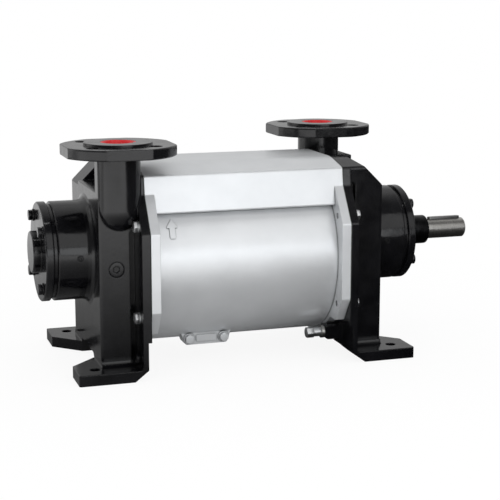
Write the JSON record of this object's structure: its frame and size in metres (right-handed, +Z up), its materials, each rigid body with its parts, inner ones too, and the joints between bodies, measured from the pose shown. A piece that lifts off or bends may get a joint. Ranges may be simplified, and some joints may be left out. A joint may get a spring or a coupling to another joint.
{
  "type": "liquid ring vacuum pump",
  "caption": "Horizontal liquid ring vacuum pump on cast feet, with two upright flanged ports and a bare keyed shaft end.",
  "frame": {"origin": "centre of the four foot holes, on the mounting plane under the feet", "axes": "+X along the shaft towards the drive end, +Y to the back, +Z up"},
  "size_m": [0.6281, 0.3084, 0.304],
  "materials": {
    "silver_paint": "satin metallic silver paint over cast iron",
    "black_paint": "gloss black paint over cast iron",
    "ground_steel": "ground and lightly oiled steel",
    "black_steel": "blackened steel",
    "spring_steel": "plain spring steel",
    "zinc_plate": "zinc plated steel",
    "red_plastic": "red moulded plastic",
    "bronze": "cast bronze",
    "brass": "pressed brass",
    "cast_iron": "machined cast iron",
    "bearing_steel": "polished bearing steel",
    "ceramic": "ivory ceramic, stood in for by a plastic's density",
    "carbon": "carbon, near a plastic's density",
    "seal_rubber": "black rubber",
    "sealing_ring": "soft metal sealing ring",
    "gasket_sheet": "pressed fibre sheet",
    "valve_sheet": "flexible valve sheet"
  },
  "bodies": {
    "pump": {"central_casing": "silver_paint", "suction_casing": "black_paint", "discharge_casing": "black_paint", "suction_gasket": "gasket_sheet", "discharge_gasket": "gasket_sheet", "suction_port_plate": "cast_iron", "interstage_plate": "cast_iron", "discharge_port_plate": "cast_iron", "stage_ring": "cast_iron", "discharge_valve_flap": "valve_sheet", "valve_guard": "spring_steel", "valve_screws": "zinc_plate", "lip_seal": "seal_rubber", "drive_end_cover": "black_paint", "free_end_cover": "black_paint", "cover_bolts_drive_end": "zinc_plate", "cover_bolts_free_end": "zinc_plate", "suction_casing_bolts": "zinc_plate", "discharge_casing_bolts": "zinc_plate", "lug_plugs": "silver_paint", "suction_drain_ring": "sealing_ring", "suction_drain_plug": "zinc_plate", "discharge_drain_ring": "sealing_ring", "discharge_drain_plug": "zinc_plate", "panel_plugs": "black_paint", "leg_plugs": "black_paint", "housing_plugs_drive_end": "black_steel", "housing_plugs_free_end": "black_steel", "seal_seat_drive_end": "ceramic", "bearing_outer_drive_end": "bearing_steel", "seal_seat_free_end": "ceramic", "bearing_outer_free_end": "bearing_steel"},
    "rotor": {"shaft": "ground_steel", "coupling_key": "ground_steel", "drive_end_sleeve": "black_steel", "first_stage_impeller": "bronze", "second_stage_impeller": "bronze", "first_stage_key": "ground_steel", "second_stage_key": "ground_steel", "impeller_nuts": "ground_steel", "lock_washer": "spring_steel", "lock_nut": "black_steel", "bearing_circlip": "spring_steel", "seal_ring_drive_end": "carbon", "seal_bellows_drive_end": "seal_rubber", "seal_collar_drive_end": "spring_steel", "bearing_inner_drive_end": "bearing_steel", "seal_ring_free_end": "carbon", "seal_bellows_free_end": "seal_rubber", "seal_collar_free_end": "spring_steel", "bearing_inner_free_end": "bearing_steel"},
    "drive_end_cage": {"bearing_balls_drive_end": "bearing_steel", "bearing_cage_drive_end": "brass"},
    "free_end_cage": {"bearing_balls_free_end": "bearing_steel", "bearing_cage_free_end": "brass"},
    "suction_plug": {"suction_port_plug": "red_plastic"},
    "discharge_plug": {"discharge_port_plug": "red_plastic"}
  },
  "joints": [
    {"name": "rotor_spin", "type": "hinge", "parent": "pump", "child": "rotor", "pos_m": [0, 0, 0.1525], "axis": [-1, 0, 0], "continuous": true},
    {"name": "drive_end_cage_spin", "type": "hinge", "parent": "pump", "child": "drive_end_cage", "pos_m": [0, 0, 0.1525], "axis": [-1, 0, 0], "continuous": true},
    {"name": "free_end_cage_spin", "type": "hinge", "parent": "pump", "child": "free_end_cage", "pos_m": [0, 0, 0.1525], "axis": [-1, 0, 0], "continuous": true},
    {"name": "suction_plug_lift", "type": "slide", "parent": "pump", "child": "suction_plug", "axis": [0, 0, 1], "range_m": [0, 0.04]},
    {"name": "discharge_plug_lift", "type": "slide", "parent": "pump", "child": "discharge_plug", "axis": [0, 0, 1], "range_m": [0, 0.04]}
  ],
  "couplings": [
    {"joint": "drive_end_cage_spin", "follows": "rotor_spin", "ratio": 0.38923},
    {"joint": "free_end_cage_spin", "follows": "rotor_spin", "ratio": 0.38923}
  ]
}
